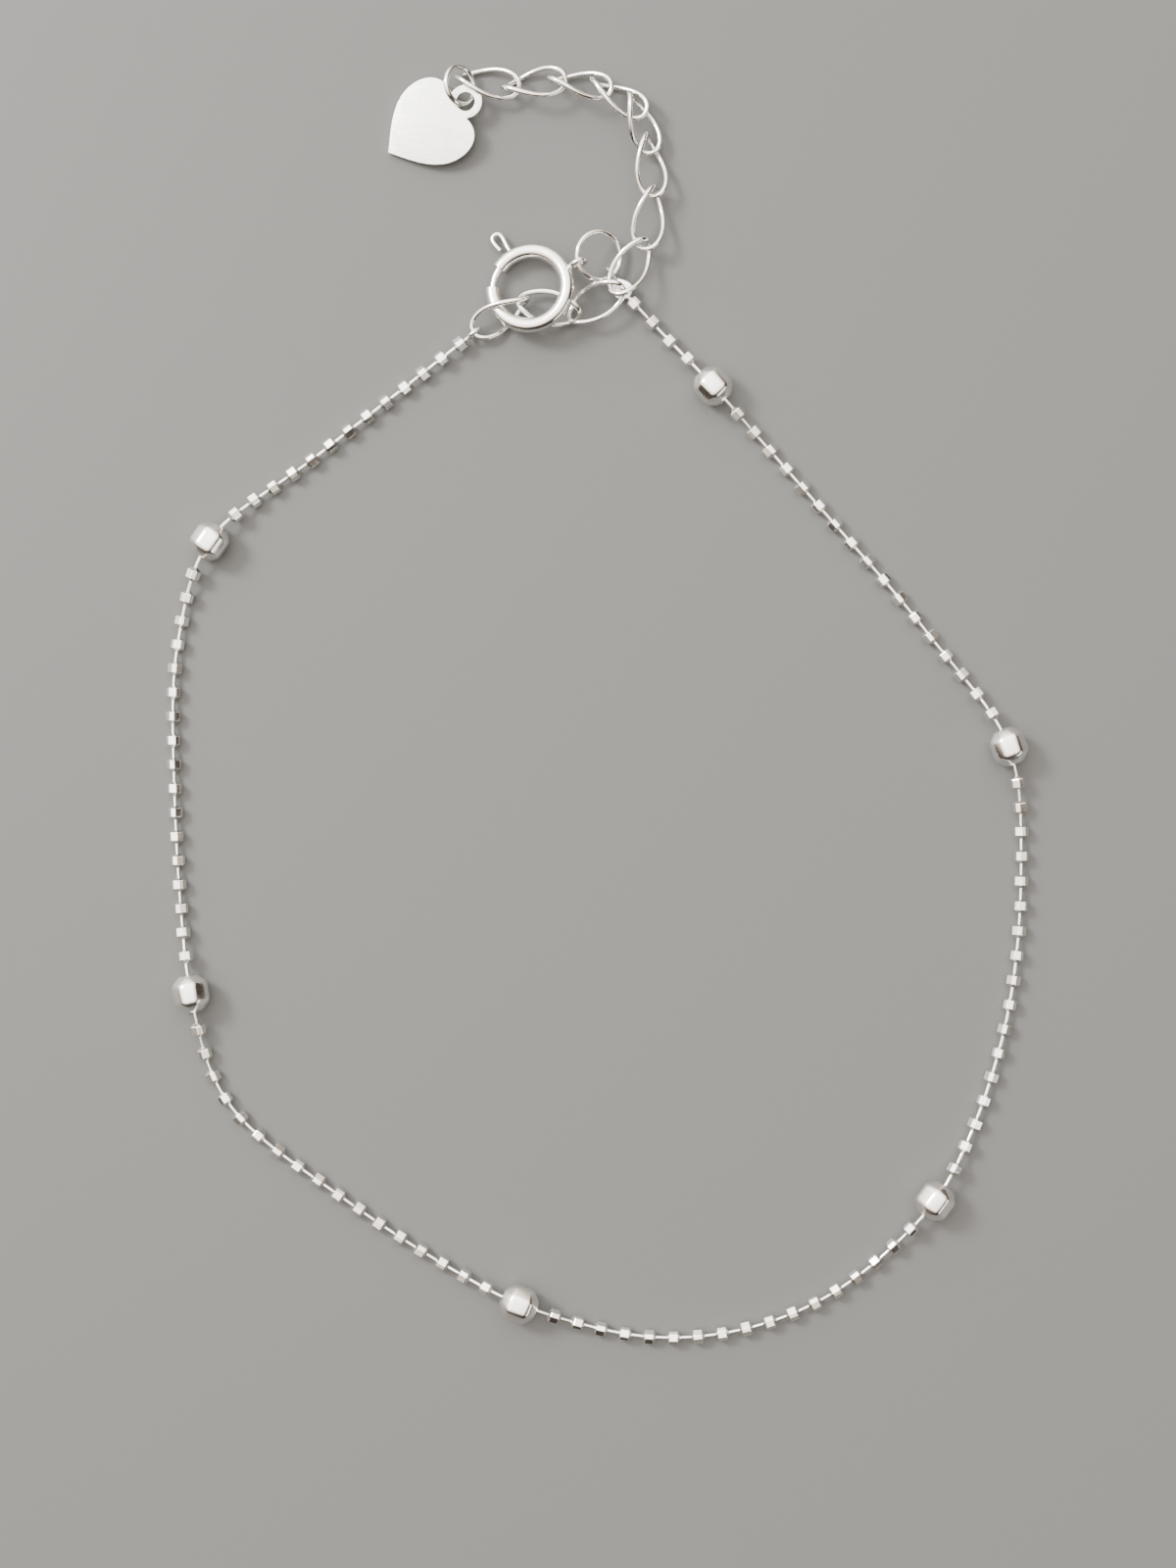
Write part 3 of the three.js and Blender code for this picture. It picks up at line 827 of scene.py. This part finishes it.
class BRACELET_OT_bead_chain(bpy.types.Operator):
    """Models the two lengths of bead chain with the eyes on their ends"""

    bl_idname = "bracelet.bead_chain"
    bl_label = "Bead Chain"

    def execute(self, context):
        chain = context.scene.bracelet_chain
        wire_radius = chain.wire_radius / MM
        route = ChainRoute(chain.station_width / MM)
        meeting = route.stations[MEETING_STATION]["along"]
        master = model_bead(chain)
        stretches = {
            "left": (0.0, meeting - MEETING_GAP / 2),
            "right": (meeting + MEETING_GAP / 2, route.length),
        }
        for side, (start, end) in stretches.items():
            steps = round((end - start) / WIRE_STEP)
            line = [route.place(start + (end - start) * i / steps) for i in range(steps + 1)]
            strand = wire(line, wire_radius)
            shade(strand, WIRE_SMOOTH)
            parts = [strand]
            for index, along in enumerate(route.bead_stops()):
                if start < along < end:
                    parts.append(copy_of(master, route.turn(along, index * BEAD_ROLL_STEP)))
            if side == "left":
                direction = route.direction(0.0)
                heading = math.degrees(math.atan2(-direction.y, -direction.x))
                parts.append(upright_eye(route.place(0.0), heading, wire_radius))
            else:
                foot = route.place(route.length)
                parts.append(leaf_tab(foot, wire_radius))
                along_tab = turned(0, 0, TAB_HEADING) @ Vector((TAB_LENGTH - wire_radius, 0.0, 0.0))
                parts.append(upright_eye(foot + along_tab, TAB_HEADING, wire_radius))
            piece = join(parts)
            finish_piece(piece, f"{side}_bead_chain", f"bead_chain_{side}", cut_silver())
        remove(master)
        return {"FINISHED"}


def model_station(chain):
    """One station bead along X: a square bar with cut edges and ends, drilled and polished."""
    width = chain.station_width / MM
    length = chain.station_length / MM
    start_clean()
    bpy.ops.mesh.primitive_cube_add(size=1.0)
    station = bpy.context.object
    open_edit(station, "EDGE")
    bpy.ops.mesh.select_all(action="SELECT")
    bpy.ops.transform.resize(value=(length, width, width), center_override=(0.0, 0.0, 0.0))
    bpy.ops.mesh.select_all(action="DESELECT")
    select_edges(station, lambda a, b: abs(a.x - b.x) > length / 2)
    bpy.ops.mesh.bevel(offset=STATION_CORNER_CUT, offset_type="OFFSET", segments=1)
    bpy.ops.mesh.select_all(action="DESELECT")
    select_edges(station, lambda a, b: abs(a.x - b.x) < 0.001)
    bpy.ops.mesh.bevel(offset=STATION_END_CUT, offset_type="OFFSET", segments=1)
    close_edit()
    apply_bevel(station, chain.station_rounding / MM, 5, 20)
    start_clean()
    bpy.ops.mesh.primitive_cylinder_add(
        vertices=STATION_BORE_SIDES,
        radius=STATION_BORE_RADIUS,
        depth=length + 1,
        rotation=(0.0, math.pi / 2, 0.0),
    )
    apply_boolean(station, bpy.context.object, "DIFFERENCE")
    mend(station)
    shade(station, PLATE_SMOOTH)
    return station


class BRACELET_OT_station_beads(bpy.types.Operator):
    """Models the larger cut beads that stand at intervals on the chain"""

    bl_idname = "bracelet.station_beads"
    bl_label = "Station Beads"

    def execute(self, context):
        chain = context.scene.bracelet_chain
        route = ChainRoute(chain.station_width / MM)
        master = model_station(chain)
        for index, station in enumerate(route.stations):
            direction = route.direction(station["along"])
            heading = math.degrees(math.atan2(direction.y, direction.x))
            turn = turned(station["roll"], 0, heading)
            piece = copy_of(master, Matrix.Translation(route.place(station["along"])) @ turn)
            finish_piece(piece, f"cut_station_{index + 1}", f"station_bead_{index + 1}", cut_silver())
        remove(master)
        return {"FINISHED"}


def link_line():
    """Evenly spaced points round one twisted oval link along X."""
    half_length = LINK_PITCH / 2 + LINK_PLACED_RADIUS + LINK_GAP / 2
    half_width = LINK_WIDTH / 2 - LINK_PLACED_RADIUS
    fine = []
    for i in range(LINK_FINE_STEPS + 1):
        angle = 2 * math.pi * i / LINK_FINE_STEPS
        along = math.cos(angle)
        across = half_width * math.copysign(abs(math.sin(angle)) ** LINK_FULLNESS, math.sin(angle))
        turn = LINK_TWIST * along
        fine.append(Vector((half_length * along, across * math.cos(turn), across * math.sin(turn))))
    lengths = [0.0]
    for before, after in zip(fine, fine[1:]):
        lengths.append(lengths[-1] + (after - before).length)
    points = []
    index = 0
    for i in range(LINK_STEPS):
        goal = lengths[-1] * i / LINK_STEPS
        while lengths[index + 1] < goal:
            index += 1
        share = (goal - lengths[index]) / (lengths[index + 1] - lengths[index])
        points.append(fine[index].lerp(fine[index + 1], share))
    return points


class BRACELET_OT_extender_links(bpy.types.Operator):
    """Models the twisted links of the extender"""

    bl_idname = "bracelet.extender_links"
    bl_label = "Extender Links"

    def execute(self, context):
        clasp = context.scene.bracelet_clasp
        master = wire(link_line(), clasp.link_wire_radius / MM, closed=True, detail=3)
        shade(master, WIRE_SMOOTH)
        joint = EXTENDER_START.copy()
        for index, row in enumerate(EXTENDER_LINKS):
            climb = math.asin(row["rise"] / row["step"])
            level = row["step"] * math.cos(climb)
            heading = math.radians(row["heading"])
            step = Vector((level * math.cos(heading), level * math.sin(heading), row["rise"]))
            middle = joint + step / 2
            turn = turned(row["roll"], math.degrees(climb), row["heading"])
            piece = copy_of(master, Matrix.Translation(middle) @ turn)
            finish_piece(piece, f"twisted_link_{index + 1}", f"extender_link_{index + 1}", wire_silver())
            joint = joint + step
        remove(master)
        return {"FINISHED"}


def ring_angle(place):
    """Angle of a place round the clasp's ring, from 0 to 360 degrees."""
    return math.degrees(math.atan2(place.y, place.x)) % 360


def in_mouth(place):
    """Whether a place on the tube lies in the mouth that the gate closes."""
    return MOUTH[0] < ring_angle(place) < MOUTH[1]


def in_slot(place):
    """Whether a place on the tube lies in the slot that the lever runs in."""
    outward = math.hypot(place.x, place.y) - CLASP_RADIUS
    facing = math.degrees(math.atan2(abs(place.z), outward))
    return SLOT_ARC[0] < ring_angle(place) < SLOT_ARC[1] and facing < SLOT_HALF_ANGLE


class BRACELET_OT_spring_ring_clasp(bpy.types.Operator):
    """Models the clasp's tube with its mouth, slot and eye, and the gate with its lever"""

    bl_idname = "bracelet.spring_ring_clasp"
    bl_label = "Spring Ring Clasp"

    def execute(self, context):
        clasp = context.scene.bracelet_clasp
        place = Matrix.Translation(CLASP_CENTRE) @ slope_turn(CLASP_SLOPE)
        tube = ring(CLASP_RADIUS, TUBE_RADIUS, TUBE_STEPS, TUBE_SIDES)
        open_edit(tube, "FACE")
        select_faces(tube, lambda middle, normal: in_mouth(middle) or in_slot(middle))
        bpy.ops.mesh.delete(type="FACE")
        close_edit()
        wall = tube.modifiers.new("wall", "SOLIDIFY")
        wall.thickness = TUBE_WALL
        wall.offset = -1.0
        pick(tube)
        bpy.ops.object.modifier_apply(modifier=wall.name)
        apply_bevel(tube, clasp.edge_rounding / MM, 2, 50)
        eye = ring(CLASP_EYE_RADIUS, CLASP_EYE_WIRE_RADIUS, CLASP_EYE_STEPS, CLASP_EYE_SIDES)
        stand = Matrix.Rotation(math.pi / 2, 4, "X")
        outward = Matrix.Translation((CLASP_EYE_OFFSET, 0.0, 0.0))
        eye.data.transform(turned(0, 0, CLASP_EYE_ANGLE) @ outward @ stand)
        start_clean()
        bpy.ops.mesh.primitive_uv_sphere_add(segments=20, ring_count=12, radius=SOLDER_RADIUS)
        solder = bpy.context.object
        spread = Matrix.Diagonal(SOLDER_SPREAD)
        foot = Matrix.Translation((CLASP_RADIUS + TUBE_RADIUS, 0.0, 0.0))
        solder.data.transform(turned(0, 0, CLASP_EYE_ANGLE) @ foot @ spread)
        body = join([tube, eye, solder])
        body.data.transform(place)
        shade(body, CLASP_SMOOTH)
        finish_piece(body, "spring_ring_tube", "clasp_ring", wire_silver())

        arc = []
        for i in range(GATE_STEPS + 1):
            angle = math.radians(GATE_ARC[0] + (GATE_ARC[1] - GATE_ARC[0]) * i / GATE_STEPS)
            arc.append((CLASP_RADIUS * math.cos(angle), CLASP_RADIUS * math.sin(angle), 0.0))
        gate = wire(arc, GATE_RADIUS, detail=4)
        apply_bevel(gate, GATE_EDGE, 3, 60)
        bend = LEVER_WIDTH / 2
        hairpin = [(CLASP_RADIUS, 0.0, 0.0), (LEVER_FOOT, 0.0, 0.0)]
        for degrees in LEVER_BEND:
            outward = LEVER_REACH - bend + bend * math.cos(math.radians(degrees))
            across = bend + bend * math.sin(math.radians(degrees))
            hairpin.append((outward, across, 0.0))
        hairpin.append((LEVER_FOOT, LEVER_WIDTH * LEVER_RETURN, 0.0))
        lever = wire(centripetal(hairpin, LEVER_STEPS), LEVER_WIRE_RADIUS, detail=3)
        apply_bevel(lever, LEVER_EDGE, 2, 60)
        lever.data.transform(turned(0, 0, LEVER_ANGLE))
        gate = join([gate, lever])
        gate.data.transform(place)
        shade(gate, CLASP_SMOOTH)
        finish_piece(gate, "spring_ring_gate", "clasp_gate", wire_silver(), GATE_BODY)
        return {"FINISHED"}


class BRACELET_OT_jump_rings(bpy.types.Operator):
    """Models the ring that holds the clasp and the ring that holds the tag"""

    bl_idname = "bracelet.jump_rings"
    bl_label = "Jump Rings"

    def execute(self, context):
        wire_radius = context.scene.bracelet_clasp.link_wire_radius / MM
        held = ring(JUMP_RING_RADIUS, wire_radius)
        held.data.transform(Matrix.Translation(JUMP_RING_CENTRE) @ slope_turn(JUMP_RING_SLOPE))
        shade(held, WIRE_SMOOTH)
        finish_piece(held, "clasp_holding_ring", "clasp_jump_ring", wire_silver())
        tag = ring(TAG_RING_RADIUS, wire_radius)
        leaning = turned(TAG_RING_TILT, 0, TAG_RING_HEADING)
        tag.data.transform(Matrix.Translation(TAG_RING_CENTRE) @ leaning)
        shade(tag, WIRE_SMOOTH)
        finish_piece(tag, "tag_holding_ring", "tag_ring", wire_silver())
        return {"FINISHED"}


class BRACELET_OT_heart_tag(bpy.types.Operator):
    """Models the plain heart tag with its eyelet"""

    bl_idname = "bracelet.heart_tag"
    bl_label = "Heart Tag"

    def execute(self, context):
        upper = []
        for corners in HEART_SIDE:
            upper += bezier_points(corners, HEART_STEPS)
        lower = [(x, -y) for x, y in reversed(upper[1:])]
        low = HEART_UNDERSIDE
        high = HEART_UNDERSIDE + HEART_THICKNESS
        heart = plate(upper + [HEART_SIDE[-1][-1]] + lower, low, high)
        middle = (EYELET_OFFSET, 0.0, (low + high) / 2)
        start_clean()
        bpy.ops.mesh.primitive_cylinder_add(
            vertices=EYELET_SIDES,
            radius=EYELET_RADIUS,
            depth=HEART_THICKNESS,
            location=middle,
        )
        apply_boolean(heart, bpy.context.object, "UNION")
        start_clean()
        bpy.ops.mesh.primitive_cylinder_add(
            vertices=EYELET_HOLE_SIDES,
            radius=EYELET_HOLE_RADIUS,
            depth=EYELET_HOLE_DEPTH,
            location=middle,
        )
        apply_boolean(heart, bpy.context.object, "DIFFERENCE")
        mend(heart)
        apply_bevel(heart, HEART_EDGE, 4, 50)
        shade(heart, PLATE_SMOOTH)
        heart.data.transform(Matrix.Translation(HEART_TIP) @ turned(0, HEART_CLIMB, HEART_HEADING))
        finish_piece(heart, "plain_heart_tag", "heart_tag", tag_silver())
        return {"FINISHED"}


def floor_material(colour):
    """A plain matt floor of one colour."""
    material = bpy.data.materials.new("plain_floor")
    material.use_nodes = True
    shader = material.node_tree.nodes["Principled BSDF"]
    shader.inputs["Base Color"].default_value = colour
    shader.inputs["Roughness"].default_value = FLOOR_ROUGHNESS
    return material


def area_light(name, place, size, power, colour):
    """A soft box light that faces the middle of the picture."""
    start_clean()
    bpy.ops.object.light_add(type="AREA", location=place)
    light = bpy.context.object
    light.name = name
    light.data.shape = "RECTANGLE"
    light.data.size = size[0]
    light.data.size_y = size[1]
    light.data.energy = power
    light.data.color = colour
    aim = PICTURE_CENTRE * MM - Vector(place)
    light.rotation_euler = aim.to_track_quat("-Z", "Y").to_euler()
    return light


def soft_room():
    """A plain room, brightest overhead on the upper left and dim and warm on the far side."""
    world = bpy.data.worlds.new("soft_room")
    world.use_nodes = True
    nodes = world.node_tree.nodes
    links = world.node_tree.links
    surround = nodes["Background"]
    direction = nodes.new("ShaderNodeTexCoord")
    facing = nodes.new("ShaderNodeVectorMath")
    facing.operation = "DOT_PRODUCT"
    facing.inputs[1].default_value = Vector(ROOM_BRIGHT_SIDE).normalized()
    links.new(direction.outputs["Generated"], facing.inputs[0])
    share = nodes.new("ShaderNodeMapRange")
    share.inputs["From Min"].default_value = ROOM_EDGE[0]
    share.inputs["From Max"].default_value = ROOM_EDGE[1]
    links.new(facing.outputs["Value"], share.inputs["Value"])
    tint = nodes.new("ShaderNodeMix")
    tint.data_type = "RGBA"
    tint.inputs[6].default_value = ROOM_DIM_COLOUR
    tint.inputs[7].default_value = ROOM_BRIGHT_COLOUR
    links.new(share.outputs["Result"], tint.inputs["Factor"])
    links.new(tint.outputs[2], surround.inputs["Color"])
    glow = nodes.new("ShaderNodeMapRange")
    glow.inputs["To Min"].default_value = ROOM_DIM
    glow.inputs["To Max"].default_value = ROOM_BRIGHT
    links.new(share.outputs["Result"], glow.inputs["Value"])
    links.new(glow.outputs["Result"], surround.inputs["Strength"])
    return world


class BRACELET_OT_stage(bpy.types.Operator):
    """Sets the floor, the soft lights and the camera"""

    bl_idname = "bracelet.stage"
    bl_label = "Stage"

    def execute(self, context):
        finish = context.scene.bracelet_finish
        start_clean()
        bpy.ops.mesh.primitive_plane_add(size=FLOOR_SIZE)
        floor = context.object
        floor.name = "plain_floor"
        floor.data.materials.append(floor_material(finish.floor))

        centre = PICTURE_CENTRE * MM
        for light in SOFT_BOXES:
            area_light(light["name"], light["place"], light["size"], light["power"], finish.light)
        context.scene.world = soft_room()

        elevation = math.radians(CAMERA_ELEVATION)
        away = Vector((0.0, -math.cos(elevation), math.sin(elevation))) * CAMERA_DISTANCE * MM
        start_clean()
        bpy.ops.object.camera_add(location=centre + away)
        camera = context.object
        camera.name = "overhead_camera"
        camera.rotation_euler = (math.radians(90.0) - elevation, 0.0, 0.0)
        camera.data.lens = CAMERA_LENS
        camera.data.sensor_width = CAMERA_SENSOR
        camera.data.clip_start = CAMERA_CLIP[0]
        camera.data.clip_end = CAMERA_CLIP[1]
        context.scene.camera = camera
        return {"FINISHED"}


class BRACELET_PT_sidebar(bpy.types.Panel):
    """Lists the sizes and the steps of the bracelet"""

    bl_idname = "BRACELET_PT_sidebar"
    bl_label = "Bead Chain Bracelet"
    bl_space_type = "VIEW_3D"
    bl_region_type = "UI"
    bl_category = "Bracelet"

    def draw(self, context):
        layout = self.layout
        for settings in (
            context.scene.bracelet_chain,
            context.scene.bracelet_clasp,
            context.scene.bracelet_finish,
        ):
            box = layout.box()
            for name in settings.__annotations__:
                box.prop(settings, name)
        for operator in OPERATORS:
            layout.operator(operator.bl_idname)


SETTINGS = {
    "bracelet_chain": BraceletChainSettings,
    "bracelet_clasp": BraceletClaspSettings,
    "bracelet_finish": BraceletFinishSettings,
}
OPERATORS = (
    BRACELET_OT_bead_chain,
    BRACELET_OT_station_beads,
    BRACELET_OT_extender_links,
    BRACELET_OT_spring_ring_clasp,
    BRACELET_OT_jump_rings,
    BRACELET_OT_heart_tag,
    BRACELET_OT_stage,
)


def register():
    for settings in SETTINGS.values():
        bpy.utils.register_class(settings)
    for operator in OPERATORS:
        bpy.utils.register_class(operator)
    bpy.utils.register_class(BRACELET_PT_sidebar)
    for name, settings in SETTINGS.items():
        setattr(bpy.types.Scene, name, bpy.props.PointerProperty(type=settings))


def unregister():
    for name in SETTINGS:
        delattr(bpy.types.Scene, name)
    bpy.utils.unregister_class(BRACELET_PT_sidebar)
    for operator in reversed(OPERATORS):
        bpy.utils.unregister_class(operator)
    for settings in reversed(list(SETTINGS.values())):
        bpy.utils.unregister_class(settings)


def main():
    """Builds the bracelet and its stage."""
    register()
    bpy.ops.bracelet.bead_chain()
    bpy.ops.bracelet.station_beads()
    bpy.ops.bracelet.extender_links()
    bpy.ops.bracelet.spring_ring_clasp()
    bpy.ops.bracelet.jump_rings()
    bpy.ops.bracelet.heart_tag()
    bpy.ops.bracelet.stage()
    start_clean()


if __name__ == "__main__":
    main()
